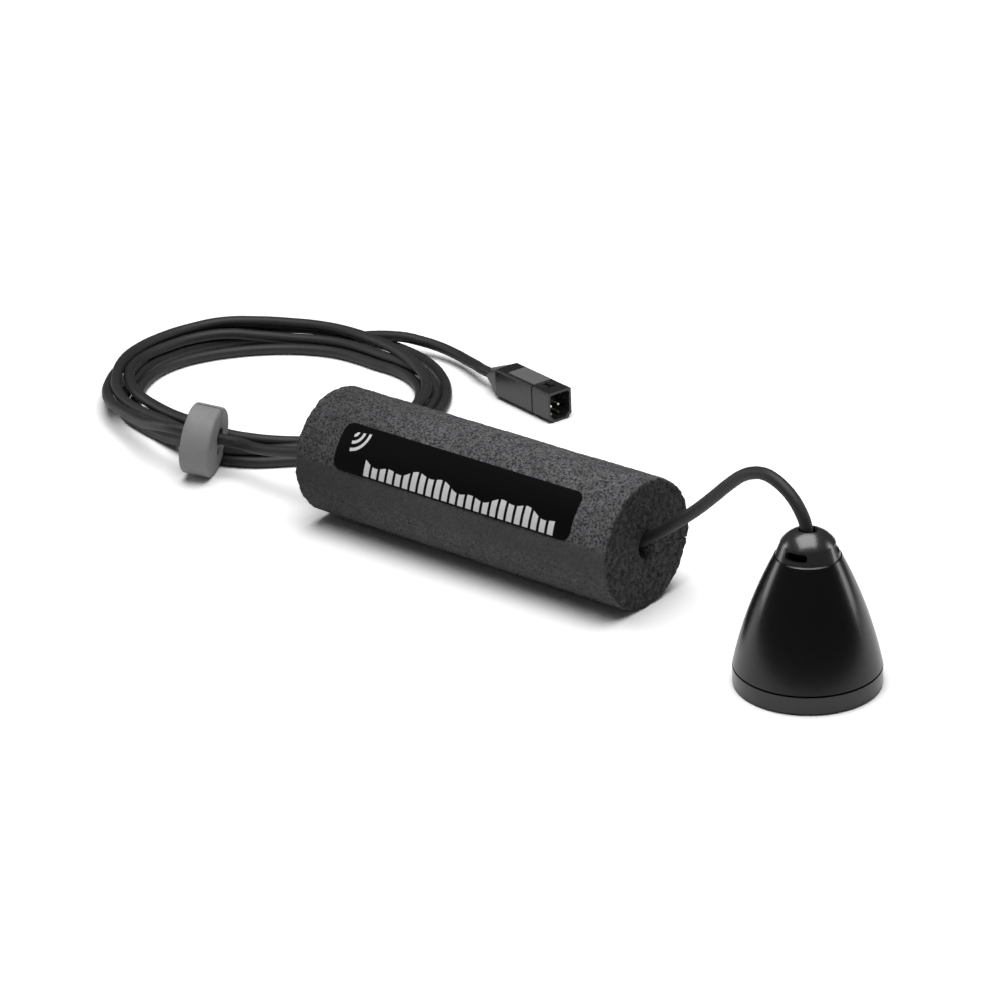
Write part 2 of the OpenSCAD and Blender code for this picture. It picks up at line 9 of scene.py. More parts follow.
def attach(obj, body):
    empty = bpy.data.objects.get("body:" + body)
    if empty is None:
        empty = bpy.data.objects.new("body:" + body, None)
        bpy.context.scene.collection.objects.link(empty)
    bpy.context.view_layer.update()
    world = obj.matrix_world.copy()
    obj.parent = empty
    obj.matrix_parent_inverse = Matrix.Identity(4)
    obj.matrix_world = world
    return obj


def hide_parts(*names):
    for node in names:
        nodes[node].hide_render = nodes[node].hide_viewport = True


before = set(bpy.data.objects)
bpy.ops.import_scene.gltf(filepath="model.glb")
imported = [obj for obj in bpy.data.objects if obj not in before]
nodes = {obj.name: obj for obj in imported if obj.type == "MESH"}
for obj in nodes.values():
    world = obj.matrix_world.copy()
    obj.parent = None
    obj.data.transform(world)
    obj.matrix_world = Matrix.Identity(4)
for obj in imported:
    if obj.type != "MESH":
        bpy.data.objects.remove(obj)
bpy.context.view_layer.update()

MM = 0.001

# Driving sizes, in millimetres, the same as the part's own
CABLE_D = 5.2
FLOAT_D = 57.0
FLOAT_BORE_D = 12.0
FLOAT_RIGHT_X = -92.0
FLOAT_LEFT_X = -264.0
FLOAT_Y = 16.0
FLOAT_Z = FLOAT_D / 2
FLOAT_EDGE = 1.0
SLIT_TILT = 14.0
SLIT_W = 0.8
LABEL_MID_X = -176.5
LABEL_LEAN = 55.0
COIL_MIDDLE = (-370.0, 84.0)


# Camera and cable

# The camera's place in millimetres, and how it is turned in degrees
CAMERA_PLACE = (737.0, -1050.7, 668.9)
CAMERA_TURN = 40.41
CAMERA_DIP = 24.587
CAMERA_ROLL = -2.079
CAMERA_LENS = 130.0
CAMERA_SENSOR = 36.0


def place_camera():
    """Stands where the photograph was taken from."""
    turn = math.radians(CAMERA_TURN)
    dip = math.radians(CAMERA_DIP)
    roll = math.radians(CAMERA_ROLL)
    forward = Vector((-math.sin(turn) * math.cos(dip), math.cos(turn) * math.cos(dip), -math.sin(dip)))
    level = Vector((math.cos(turn), math.sin(turn), 0.0))
    rise = level.cross(forward)
    right = level * math.cos(roll) + rise * math.sin(roll)
    up = rise * math.cos(roll) - level * math.sin(roll)
    lens = bpy.data.cameras.new("photo_camera")
    lens.lens = CAMERA_LENS
    lens.sensor_width = CAMERA_SENSOR
    lens.clip_end = 50.0
    camera = bpy.data.objects.new("photo_camera", lens)
    facing = Matrix((right, up, -forward)).transposed().to_4x4()
    camera.matrix_world = Matrix.Translation(Vector(CAMERA_PLACE) * MM) @ facing
    bpy.context.scene.collection.objects.link(camera)
    bpy.context.scene.camera = camera


# From the cap's mouth, over in an arc and into the float's bore
ARC_ROUTE = [
    (0, 0, 60.5), (0, 0, 62), (-0.5, 0.1, 65.5), (-1.5, 0.3, 69), (-3.5, 0.6, 72.5), (-7, 1.2, 76.5),
    (-12, 2, 80), (-18, 3, 82.3), (-24, 4.2, 82.8), (-30, 5.2, 81.3), (-36, 6.3, 78.2), (-43, 7.5, 72.5),
    (-52, 9, 64), (-62, 10.8, 54.8), (-72, 12.5, 46.5), (-82, 14.2, 38.8), (-92, 16, 31.6),
    (-97, 16, 28.6), (-102, 16, 26.6), (-107, 16, 25.8), (-112, 16, 25.4), (-140, 16, 25.4),
]
# Out of the float, through the stopper and down on to the coil
EXIT_ROUTE = [
    (-240, 16, 25.4), (-264, 16, 25.4), (-267, 16, 25.4), (-276, 15, 24), (-287, 13.2, 21.6),
    (-299, 11.8, 19.6), (-311, 12, 17.8), (-326.8, 14.5, 16.1), (-338.9, 8.6, 18.2), (-351, 2.7, 20.4),
    (-362, 3.4, 19.2), (-373, 6.4, 16.2),
]
# Each turn of the coil: degrees clockwise from the front, radius, height
COIL_TURNS = [
    [(13, 74, 13.2), (25, 73.5, 11.6), (39, 75.5, 9.6), (48, 76.8, 8.4), (58, 78.2, 7.4), (70, 81, 6.4),
     (84, 83.5, 5.8), (100, 84.2, 5.8), (120, 84.2, 5.8), (140, 83, 5.6), (160, 81, 5), (170, 82, 3.6),
     (178, 83, 2.9), (192, 83.6, 2.6), (223, 83.7, 2.6), (243, 83.7, 2.6), (270, 80, 2.6), (310, 75, 2.6),
     (328, 73.5, 2.6), (338, 71, 2.6), (346, 66.5, 2.6), (354, 61.5, 2.6)],
    [(3, 58.5, 2.6), (12, 57.5, 2.6), (21, 58, 2.6), (33, 60.5, 2.6), (40, 62.2, 2.6), (48, 63.6, 2.6),
     (56, 64.4, 2.6), (66, 65.2, 2.6), (76, 67, 2.6), (88, 67.8, 2.6), (100, 67, 2.6), (118, 64, 2.6),
     (140, 62, 2.6), (170, 62, 2.6), (191, 62, 2.6), (205, 66.4, 2.6), (220, 70.4, 2.6), (236, 71.4, 2.6),
     (250, 70.5, 2.6), (270, 68.6, 3), (290, 66.5, 5.4), (306, 65.5, 7.4), (319, 62.5, 8.4),
     (334, 60.4, 9.6), (350, 56.8, 10.8)],
    [(2, 55.6, 11), (10, 55.6, 10.8), (21, 56, 10.4), (33, 58.7, 10.3), (43, 62, 10.2), (56, 66.6, 9.8),
     (68, 72, 9), (77, 75.8, 8.4), (85, 77.4, 8), (94, 78, 7.9), (112, 77.8, 7.9), (122, 75.2, 7.8),
     (140, 68.4, 6.2), (167, 67.2, 5.6), (191, 66.6, 5.7), (205, 70.6, 5.7), (214, 74.8, 4.6),
     (223, 78.3, 3.2), (241, 78.4, 2.6), (270, 74.4, 2.6), (300, 69.6, 2.6), (325, 67.5, 3),
     (340, 64, 5.4), (350, 60.8, 7)],
    [(6, 60.4, 8.8), (18, 61.7, 9.3), (29, 64.9, 9), (37, 68.2, 9.4), (44, 70.8, 10), (60, 74.6, 11.2),
     (70, 77.5, 11.6), (80, 80, 11.6), (100, 82.6, 11.3), (112, 83.2, 11.2), (123, 82.8, 11.2),
     (140, 77, 10.8), (165, 73.5, 10.1), (179, 71.4, 9.7), (197, 70, 10.2), (211, 71.6, 9.6),
     (234, 75, 7.8), (247, 74.6, 7.2), (270, 72.3, 7.4), (300, 72, 7.2), (325, 71.5, 7.4),
     (340, 70.4, 7.8), (350, 69, 7.4)],
    [(-2, 66, 5.2), (6, 64.2, 3.2), (14, 63.4, 2.6), (21, 64, 2.6), (33, 67, 2.6), (40, 68.6, 2.6),
     (48, 70, 2.6), (56, 70.8, 2.6), (66, 71.4, 2.6), (76, 72.6, 2.6), (84, 75.4, 2.6), (92, 77.9, 2.6),
     (112, 78.6, 2.6), (126, 77, 2.6), (150, 73.8, 2.7), (160, 74.2, 3.6), (170, 76.8, 5.9),
     (178, 79.8, 8)],
]
# Degrees from one point of the coil to the next
COIL_STEP = 12
# From the coil's last turn to the plug
TAIL_ROUTE = [
    (-361, 168.4, 8.2), (-350, 171.4, 7.4), (-339, 172.6, 6.4), (-328, 171.2, 5.8), (-317, 167.6, 6),
    (-309, 164, 6.9), (-303.1, 161, 7.5), (-297.2, 159.5, 7.6), (-294.3, 158.8, 7.6),
]


def eased(before, start, end, after, turn):
    """A smooth value between two knots of the coil's lay; each knot is (turn, value)."""
    span = end[0] - start[0]
    t = (turn - start[0]) / span
    slope_in = (end[1] - before[1]) / (end[0] - before[0]) * span
    slope_out = (after[1] - start[1]) / (after[0] - start[0]) * span
    return ((2 * t ** 3 - 3 * t ** 2 + 1) * start[1] + (t ** 3 - 2 * t ** 2 + t) * slope_in
            + (3 * t ** 2 - 2 * t ** 3) * end[1] + (t ** 3 - t ** 2) * slope_out)


def coil_points():
    """The coil's turns, laid loosely over each other."""
    lay = [(360 * n + turn, radius, height)
           for n, knots in enumerate(COIL_TURNS) for turn, radius, height in knots]
    points = []
    turn = lay[0][0]
    while turn < lay[-1][0]:
        i = max(k for k in range(len(lay) - 1) if lay[k][0] <= turn)
        near = [lay[max(i - 1, 0)], lay[i], lay[i + 1], lay[min(i + 2, len(lay) - 1)]]
        radius = eased(*[(k[0], k[1]) for k in near], turn)
        height = max(eased(*[(k[0], k[2]) for k in near], turn), CABLE_D / 2)
        angle = math.radians(270 - turn)
        points.append((COIL_MIDDLE[0] + radius * math.cos(angle),
                       COIL_MIDDLE[1] + radius * math.sin(angle), height))
        turn += COIL_STEP
    return points


def lay_cable():
    """One cable from the cap's mouth to the plug."""
    route = ARC_ROUTE + EXIT_ROUTE + coil_points() + TAIL_ROUTE
    curve = bpy.data.curves.new("cable", "CURVE")
    curve.dimensions = "3D"
    curve.bevel_depth = 1.0
    curve.bevel_resolution = 5
    curve.resolution_u = 5
    curve.use_fill_caps = True
    spline = curve.splines.new("BEZIER")
    spline.bezier_points.add(len(route) - 1)
    for knot, place in zip(spline.bezier_points, route):
        knot.co = Vector(place) * MM
        knot.radius = CABLE_D / 2 * MM
        knot.handle_left_type = "AUTO"
        knot.handle_right_type = "AUTO"
    cable = bpy.data.objects.new("cable", curve)
    bpy.context.scene.collection.objects.link(cable)
    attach(cable, "root")
    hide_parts("cable_arc", "cable_in_float", "cable_float_exit", "cable_coil", "cable_tail")
    return cable


# Foam float

def float_profile():
    """(x, radius) points from the bore's left end, round the outside and back along the bore."""
    outer, bore = FLOAT_D / 2, FLOAT_BORE_D / 2
    left, right = FLOAT_LEFT_X, FLOAT_RIGHT_X
    face_rings, body_rings, bore_rings, edge_rings = 20, 190, 20, 2
    profile = []
    for k in range(face_rings):
        profile.append((left, bore + (outer - FLOAT_EDGE - bore) * k / face_rings))
    for k in range(edge_rings + 1):
        a = math.pi / 2 * k / edge_rings
        profile.append((left + FLOAT_EDGE * (1 - math.cos(a)), outer - FLOAT_EDGE * (1 - math.sin(a))))
    for k in range(1, body_rings):
        profile.append((left + FLOAT_EDGE + (right - left - 2 * FLOAT_EDGE) * k / body_rings, outer))
    for k in range(edge_rings + 1):
        a = math.pi / 2 * k / edge_rings
        profile.append((right - FLOAT_EDGE * (1 - math.sin(a)), outer - FLOAT_EDGE * (1 - math.cos(a))))
    for k in range(1, face_rings + 1):
        profile.append((right, outer - FLOAT_EDGE - (outer - FLOAT_EDGE - bore) * k / face_rings))
    for k in range(1, bore_rings):
        profile.append((right + (left - right) * k / bore_rings, bore))
    return profile


def foam_skin(spot):
    """How far the skin stands off a plain tube: long waves, then coarse and fine crumbs."""
    swell = 0.22 * noise.noise(spot / 11) - 0.12
    crumb = 0.24 * noise.noise(spot / 2.6) + 0.14 * noise.noise(spot / 1.3)
    return swell + crumb


def float_point(x, radius, share):
    """One point of the float; share runs round from lip to lip of the slit."""
    # The slit narrows towards the bore
    closing = 0.25 + 0.75 * (2 * radius / FLOAT_D) ** 4
    half_gap = math.asin(SLIT_W * closing / 2 / radius)
    angle = -math.radians(90 + SLIT_TILT) + half_gap + share * (2 * math.pi - 2 * half_gap)
    if radius < FLOAT_BORE_D / 2 + 0.1:
        return Vector((x, FLOAT_Y - radius * math.sin(angle), FLOAT_Z + radius * math.cos(angle)))
    spot = Vector((x, radius * math.sin(angle), radius * math.cos(angle)))
    lip = 0.8 * math.exp(-share * 30) - 0.3 * math.exp(-(1 - share) * 30)
    at_end = min(1.0, max(0.0, 1 - (min(x - FLOAT_LEFT_X, FLOAT_RIGHT_X - x) / 2.5)))
    torn = 1.0 * at_end * max(0.0, noise.noise(spot / 3.4) - 0.05)
    outward = radius + (foam_skin(spot) + lip - torn) * min(1, radius / 20)
    shift = 0.6 * at_end * noise.noise(spot / 3.1) + 0.35 * at_end * noise.noise(spot / 1.4)
    return Vector((x + shift, FLOAT_Y - outward * math.sin(angle), FLOAT_Z + outward * math.cos(angle)))


def shape_float():
    """A foam tube, slit along its far side, with cut ends."""
    columns = 200
    profile = float_profile()
    mesh = bmesh.new()
    grid = [[mesh.verts.new(float_point(x, r, c / (columns - 1)) * MM) for c in range(columns)]
            for x, r in profile]
    for i in range(len(grid)):
        here, following = grid[i], grid[(i + 1) % len(grid)]
        for c in range(columns - 1):
            mesh.faces.new((here[c], following[c], following[c + 1], here[c + 1]))
    for lip in (0, columns - 1):
        mesh.faces.new([row[lip] for row in grid])
    bmesh.ops.recalc_face_normals(mesh, faces=mesh.faces)
    for face in mesh.faces:
        face.smooth = True
    data = bpy.data.meshes.new("float_foam")
    mesh.to_mesh(data)
    mesh.free()
    foam = bpy.data.objects.new("float_foam", data)
    bpy.context.scene.collection.objects.link(foam)
    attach(foam, "root")
    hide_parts("foam_float")
    return foam


# Shader helpers

def put(tree, kind, settings=None, **inputs):
    """Adds a node, sets its own settings, and sets or links each named input."""
    node = tree.nodes.new(kind)
    for name, value in (settings or {}).items():
        setattr(node, name, value)
    for name, value in inputs.items():
        feed(tree, node.inputs[name.replace("_", " ")], value)
    return node


def feed(tree, socket, value):
    """Links an output to a socket, or sets the socket's own value."""
    if isinstance(value, bpy.types.NodeSocket):
        tree.links.new(value, socket)
    else:
        socket.default_value = value


def sum_of(tree, operation, *values):
    """A Math node over the given values."""
    node = tree.nodes.new("ShaderNodeMath")
    node.operation = operation
    for socket, value in zip(node.inputs, values):
        feed(tree, socket, value)
    return node.outputs[0]


def blend(tree, share, first, second):
    """A colour mix."""
    node = put(tree, "ShaderNodeMix", {"data_type": "RGBA"})
    feed(tree, node.inputs[0], share)
    feed(tree, node.inputs[6], first)
    feed(tree, node.inputs[7], second)
    return node.outputs[2]


def between(tree, share, first, second):
    """A mix of two values."""
    return put(tree, "ShaderNodeMix", {"data_type": "FLOAT"}, Factor=share, A=first, B=second).outputs[0]


def cloud(tree, place, scale, detail, roughness=0.5):
    """A noise value over the surface."""
    return put(tree, "ShaderNodeTexNoise", Vector=place, Scale=scale, Detail=detail,
               Roughness=roughness).outputs[0]


def band(tree, value, low, high, to_low=0.0, to_high=1.0):
    """A value eased from one range to another."""
    node = put(tree, "ShaderNodeMapRange", {"interpolation_type": "SMOOTHSTEP"})
    for socket, number in zip(node.inputs, (value, low, high, to_low, to_high)):
        feed(tree, socket, number)
    return node.outputs[0]


def within(tree, value, low, high, soft):
    """One between two limits and zero outside, with soft edges."""
    return sum_of(tree, "MULTIPLY", band(tree, value, low - soft, low + soft),
                  band(tree, value, high - soft, high + soft, 1.0, 0.0))


def grey(level, warm=0.0):
    """A near neutral colour; warm above zero leans to brown, below zero to blue."""
    return (level * (1 + warm), level, level * (1 - warm), 1.0)


def start_group(name, inputs, outputs):
    """A shader node group with named sockets."""
    group = bpy.data.node_groups.new(name, "ShaderNodeTree")
    for label, kind in inputs:
        group.interface.new_socket(label, in_out="INPUT", socket_type=kind)
    for label, kind in outputs:
        group.interface.new_socket(label, in_out="OUTPUT", socket_type=kind)
    return group, group.nodes.new("NodeGroupInput").outputs, group.nodes.new("NodeGroupOutput").inputs


def place_group(tree, group, **inputs):
    """Puts a group in a material with its own values."""
    node = tree.nodes.new("ShaderNodeGroup")
    node.node_tree = group
    for name, value in inputs.items():
        feed(tree, node.inputs[name.replace("_", " ")], value)
    return node.outputs


def start_material(name):
    """A material with a Principled shader, and its tree."""
    material = bpy.data.materials.new(name)
    material.use_nodes = True
    tree = material.node_tree
    shader = tree.nodes["Principled BSDF"]
    return material, tree, shader


def finish_surface(tree, shader, color, roughness, height, strength, distance):
    """Feeds the shader's colour and roughness, and its normal through a bump."""
    feed(tree, shader.inputs["Base Color"], color)
    feed(tree, shader.inputs["Roughness"], roughness)
    bump = put(tree, "ShaderNodeBump", Strength=strength, Distance=distance, Height=height)
    tree.links.new(bump.outputs["Normal"], shader.inputs["Normal"])


# Effects that several materials share

def make_mould_grain():
    """Fine moulded texture: a faint tone change, uneven gloss and a height for a bump."""
    group, given, out = start_group(
        "mould_grain",
        [("Color", "NodeSocketColor"), ("Tone", "NodeSocketFloat"), ("Grain", "NodeSocketFloat"),
         ("Roughness", "NodeSocketFloat"), ("Spread", "NodeSocketFloat")],
        [("Color", "NodeSocketColor"), ("Roughness", "NodeSocketFloat"), ("Height", "NodeSocketFloat")])
    place = group.nodes.new("ShaderNodeTexCoord").outputs["Object"]
    patchy = cloud(group, place, 90.0, 3.0, 0.6)
    fine = cloud(group, place, given["Grain"], 2.0)
    lift = sum_of(group, "MULTIPLY", sum_of(group, "SUBTRACT", patchy, 0.5), given["Tone"])
    level = sum_of(group, "ADD", lift, 1.0)
    tint = group.nodes.new("ShaderNodeVectorMath")
    tint.operation = "SCALE"
    group.links.new(given["Color"], tint.inputs[0])
    group.links.new(level, tint.inputs["Scale"])
    group.links.new(tint.outputs[0], out["Color"])
    uneven = sum_of(group, "MULTIPLY", sum_of(group, "SUBTRACT", fine, 0.5), given["Spread"])
    group.links.new(sum_of(group, "ADD", uneven, given["Roughness"]), out["Roughness"])
    group.links.new(fine, out["Height"])
    return group


def make_settled_dust():
    """Fine dust on faces that look up: a mask that breaks up into specks."""
    group, given, out = start_group(
        "settled_dust", [("Amount", "NodeSocketFloat"), ("Speck", "NodeSocketFloat")],
        [("Mask", "NodeSocketFloat")])
    place = group.nodes.new("ShaderNodeTexCoord").outputs["Object"]
    facing = group.nodes.new("ShaderNodeSeparateXYZ")
    group.links.new(group.nodes.new("ShaderNodeNewGeometry").outputs["Normal"], facing.inputs[0])
    up = band(group, facing.outputs["Z"], 0.2, 0.95)
    spots = band(group, cloud(group, place, given["Speck"], 4.0, 0.7), 0.45, 0.75)
    share = sum_of(group, "MULTIPLY", sum_of(group, "MULTIPLY", up, spots), given["Amount"])
    group.links.new(share, out["Mask"])
    return group


MOULD_GRAIN = make_mould_grain()
SETTLED_DUST = make_settled_dust()
DUST_TONE = grey(0.25, 0.04)


# Materials, one for each finish

def moulded_plastic(name, level, roughness, spread=0.1, bump=0.12, dust=0.05, warm=0.0, gloss=0.5):
    """Moulded plastic with a fine grain and a little dust."""
    material, tree, shader = start_material(name)
    skin = place_group(tree, MOULD_GRAIN, Color=grey(level, warm), Tone=0.25, Grain=1400.0,
                       Roughness=roughness, Spread=spread)
    specks = place_group(tree, SETTLED_DUST, Amount=dust, Speck=900.0)
    color = blend(tree, specks["Mask"], skin["Color"], DUST_TONE)
    shader.inputs["Specular IOR Level"].default_value = gloss
    finish_surface(tree, shader, color, skin["Roughness"], skin["Height"], bump, 0.00005)
    return material


def housing_plastic():
    """Smooth black plastic, with a painted highlight: a fine pale line along the front of the cone's
    upper edge.
    """
    material, tree, shader = start_material("housing_plastic")
    skin = place_group(tree, MOULD_GRAIN, Color=grey(0.006), Tone=0.25, Grain=1400.0,
                       Roughness=0.22, Spread=0.06)
    place = tree.nodes.new("ShaderNodeTexCoord").outputs["Object"]
    spot = put(tree, "ShaderNodeSeparateXYZ", Vector=place).outputs
    # Painted highlight: a pale line on the cone's upper edge, only where it faces the camera.
    rim_highlight = within(tree, spot["Z"], 55.75 * MM, 56.4 * MM, 0.1 * MM)
    rightward = sum_of(tree, "MULTIPLY", spot["X"], 0.57)
    backward = sum_of(tree, "MULTIPLY", spot["Y"], 0.82)
    ahead = sum_of(tree, "SUBTRACT", rightward, backward)
    rim_highlight = sum_of(tree, "MULTIPLY", rim_highlight, band(tree, ahead, 9.5 * MM, 12.8 * MM))
    color = blend(tree, rim_highlight, skin["Color"], grey(0.2))
    finish_surface(tree, shader, color, skin["Roughness"], skin["Height"], 0.06, 0.00005)
    return material


def soft_rubber(name, level):
    """Matt rubber with a dusty bloom."""
    material, tree, shader = start_material(name)
    skin = place_group(tree, MOULD_GRAIN, Color=grey(level), Tone=0.35, Grain=2200.0,
                       Roughness=0.62, Spread=0.2)
    bloom = place_group(tree, SETTLED_DUST, Amount=0.12, Speck=600.0)
    color = blend(tree, bloom["Mask"], skin["Color"], DUST_TONE)
    shader.inputs["Specular IOR Level"].default_value = 0.35
    finish_surface(tree, shader, color, skin["Roughness"], skin["Height"], 0.25, 0.00008)
    return material


def bright_metal(name, color, roughness):
    """Plated or tinned metal with a fine grain."""
    material, tree, shader = start_material(name)
    skin = place_group(tree, MOULD_GRAIN, Color=color, Tone=0.2, Grain=3000.0,
                       Roughness=roughness, Spread=0.15)
    shader.inputs["Metallic"].default_value = 1.0
    finish_surface(tree, shader, skin["Color"], skin["Roughness"], skin["Height"], 0.1, 0.00003)
    return material


def speckled(name, color, fleck, scale, roughness):
    """Cork, cast resin, ceramic, board or iron: one tone with flecks of another."""
    material, tree, shader = start_material(name)
    place = tree.nodes.new("ShaderNodeTexCoord").outputs["Object"]
    cell = put(tree, "ShaderNodeTexVoronoi", Vector=place, Scale=scale)
    share = band(tree, cell.outputs["Color"], 0.55, 0.9)
    mixed = blend(tree, share, color, fleck)
    skin = place_group(tree, MOULD_GRAIN, Color=mixed, Tone=0.3, Grain=scale * 2,
                       Roughness=roughness, Spread=0.2)
    finish_surface(tree, shader, skin["Color"], skin["Roughness"], skin["Height"], 0.3, 0.0001)
    return material


def cable_jacket():
    """Satin cable jacket, slightly scuffed."""
    material, tree, shader = start_material("cable_jacket")
    skin = place_group(tree, MOULD_GRAIN, Color=grey(0.022), Tone=0.5, Grain=1500.0,
                       Roughness=0.55, Spread=0.14)
    specks = place_group(tree, SETTLED_DUST, Amount=0.06, Speck=700.0)
    color = blend(tree, specks["Mask"], skin["Color"], DUST_TONE)
    finish_surface(tree, shader, color, skin["Roughness"], skin["Height"], 0.1, 0.00005)
    return material


def float_lean(tree, place):
    """The angle from the float's top towards the viewer's side, in degrees."""
    parts = put(tree, "ShaderNodeSeparateXYZ", Vector=place).outputs
    aside = sum_of(tree, "SUBTRACT", FLOAT_Y * MM, parts["Y"])
    above = sum_of(tree, "SUBTRACT", parts["Z"], FLOAT_Z * MM)
    return sum_of(tree, "DEGREES", sum_of(tree, "ARCTAN2", aside, above))


def foam_cut_end(tree, place):
    """One on the float's cut ends, with a ragged edge."""
    normal = tree.nodes.new("ShaderNodeNewGeometry").outputs["Normal"]
    facing = put(tree, "ShaderNodeSeparateXYZ", Vector=normal).outputs
    ragged = sum_of(tree, "MULTIPLY", cloud(tree, place, 420.0, 2.0), 0.7)
    endward = sum_of(tree, "ADD", sum_of(tree, "ABSOLUTE", facing["X"]), ragged)
    return band(tree, endward, 0.8, 1.15)


def foam_calm(tree, place, cut_end):
    """How smooth the foam's skin is: most so just below the label, and never on a cut end."""
    lean = float_lean(tree, place)
    lower_edge = band(tree, lean, 90.0, 112.0, 1.0, 0.55)
    smooth = sum_of(tree, "MULTIPLY", band(tree, lean, 74.0, 80.0), lower_edge)
    skinned = sum_of(tree, "SUBTRACT", 1.0, cut_end)
    return sum_of(tree, "MULTIPLY", sum_of(tree, "MULTIPLY", smooth, 0.85), skinned)


def foam_grain(tree, place, cut_end):
    """The foam's grains, coarser on the cut ends."""
    fine = cloud(tree, place, 900.0, 2.0, 0.85)
    coarse = cloud(tree, place, 380.0, 3.0, 0.7)
    return between(tree, band(tree, cut_end, 0.0, 1.0, 0.3, 0.7), fine, coarse)


def closed_cell_foam():
    """Dark grey foam with grains and pits, darker on its cut ends; painted shade darkens its pits and its
    left end.
    """
    material, tree, shader = start_material("closed_cell_foam")
    place = tree.nodes.new("ShaderNodeTexCoord").outputs["Object"]
    cut_end = foam_cut_end(tree, place)
    calm = foam_calm(tree, place, cut_end)
    grain = foam_grain(tree, place, cut_end)
    pepper = between(tree, calm, band(tree, grain, 0.36, 0.64), 0.36)
    hue = cloud(tree, place, 260.0, 1.0)
    light = blend(tree, band(tree, hue, 0.4, 0.6), (0.2, 0.2, 0.212, 1), (0.206, 0.2, 0.204, 1))
    color = blend(tree, pepper, grey(0.03, -0.02), light)
    patch = cloud(tree, place, 70.0, 2.0)
    color = blend(tree, band(tree, patch, 0.35, 0.65, 0.0, 0.25), color, grey(0.07, -0.03))
    # Painted shade in the pits: each pit is coloured near black, besides a small dip in the bump.
    pits = put(tree, "ShaderNodeTexVoronoi", Vector=place, Scale=640.0).outputs["Distance"]
    open_skin = band(tree, calm, 0.0, 0.85, 1.0, 0.35)
    pit = sum_of(tree, "MULTIPLY", band(tree, pits, 0.18, 0.36, 0.85, 0.0), open_skin)
    color = blend(tree, pit, color, grey(0.01))
    color = blend(tree, sum_of(tree, "MULTIPLY", cut_end, 0.47), color, grey(0.012))
    # Painted shade: the float grows darker towards its left end.
    spot = put(tree, "ShaderNodeSeparateXYZ", Vector=place).outputs
    left_end_shade = band(tree, spot["X"], FLOAT_LEFT_X * MM, (FLOAT_LEFT_X + 80) * MM, 0.38, 0.0)
    color = blend(tree, left_end_shade, color, grey(0.02))
    rise = sum_of(tree, "SUBTRACT", grain, sum_of(tree, "MULTIPLY", pit, 0.4))
    shader.inputs["Specular IOR Level"].default_value = 0.15
    finish_surface(tree, shader, color, 0.9, rise, 0.7, 0.0005)
    return material


# Millimetres from one echo ring to the next, and from one bar to the next
RING_PITCH = 3.2
BAR_PITCH = 4.4


def echo_rings(tree, along, down):
    """Three rings that spread from a corner of the label."""
    aside = sum_of(tree, "ADD", along, 58.5)
    below = sum_of(tree, "ADD", down, 7.0)
    aside_squared = sum_of(tree, "MULTIPLY", aside, aside)
    below_squared = sum_of(tree, "MULTIPLY", below, below)
    reach = sum_of(tree, "SQRT", sum_of(tree, "ADD", aside_squared, below_squared))
    bearing = sum_of(tree, "ARCTAN2", below, aside)
    step = sum_of(tree, "FLOORED_MODULO", reach, RING_PITCH)
    off_line = sum_of(tree, "ABSOLUTE", sum_of(tree, "SUBTRACT", step, RING_PITCH / 2))
    rings = band(tree, off_line, 0.55, 0.85, 1.0, 0.0)
    rings = sum_of(tree, "MULTIPLY", rings, within(tree, bearing, -0.1, 1.5, 0.04))
    return sum_of(tree, "MULTIPLY", rings, within(tree, reach, 0.1, 9.5, 0.1))


def sea_bed_bars(tree, along, down):
    """A row of bars whose tops follow a sea bed."""
    swell = sum_of(tree, "MULTIPLY", sum_of(tree, "SINE", sum_of(tree, "MULTIPLY", along, 0.13)), 1.6)
    ripple = sum_of(tree, "MULTIPLY", sum_of(tree, "SINE", sum_of(tree, "MULTIPLY", along, 0.41)), 0.9)
    bed = sum_of(tree, "ADD", sum_of(tree, "ADD", swell, ripple), 3.6)
    depth = sum_of(tree, "SUBTRACT", down, bed)
    step = sum_of(tree, "FLOORED_MODULO", along, BAR_PITCH)
    bars = sum_of(tree, "MULTIPLY", within(tree, step, 0.8, 3.8, 0.12), band(tree, depth, -0.15, 0.15))
    bars = sum_of(tree, "MULTIPLY", bars, within(tree, along, -47.6, 57.2, 0.05))
    return sum_of(tree, "MULTIPLY", bars, band(tree, down, 10.0, 10.3, 1.0, 0.0))


def label_film():
    """Black satin film with a generic white print."""
    material, tree, shader = start_material("label_film")
    place = tree.nodes.new("ShaderNodeTexCoord").outputs["Object"]
    parts = put(tree, "ShaderNodeSeparateXYZ", Vector=place).outputs
    along = sum_of(tree, "SUBTRACT", sum_of(tree, "DIVIDE", parts["X"], MM), LABEL_MID_X)
    turn = sum_of(tree, "SUBTRACT", float_lean(tree, place), LABEL_LEAN)
    down = sum_of(tree, "MULTIPLY", turn, math.radians(FLOAT_D / 2))
    marks = sum_of(tree, "MAXIMUM", echo_rings(tree, along, down), sea_bed_bars(tree, along, down))
    skin = place_group(tree, MOULD_GRAIN, Color=grey(0.002), Tone=0.3, Grain=1800.0,
                       Roughness=0.5, Spread=0.1)
    color = blend(tree, marks, skin["Color"], grey(0.8))
    shader.inputs["Specular IOR Level"].default_value = 0.06
    finish_surface(tree, shader, color, skin["Roughness"], skin["Height"], 0.05, 0.00005)
    return material


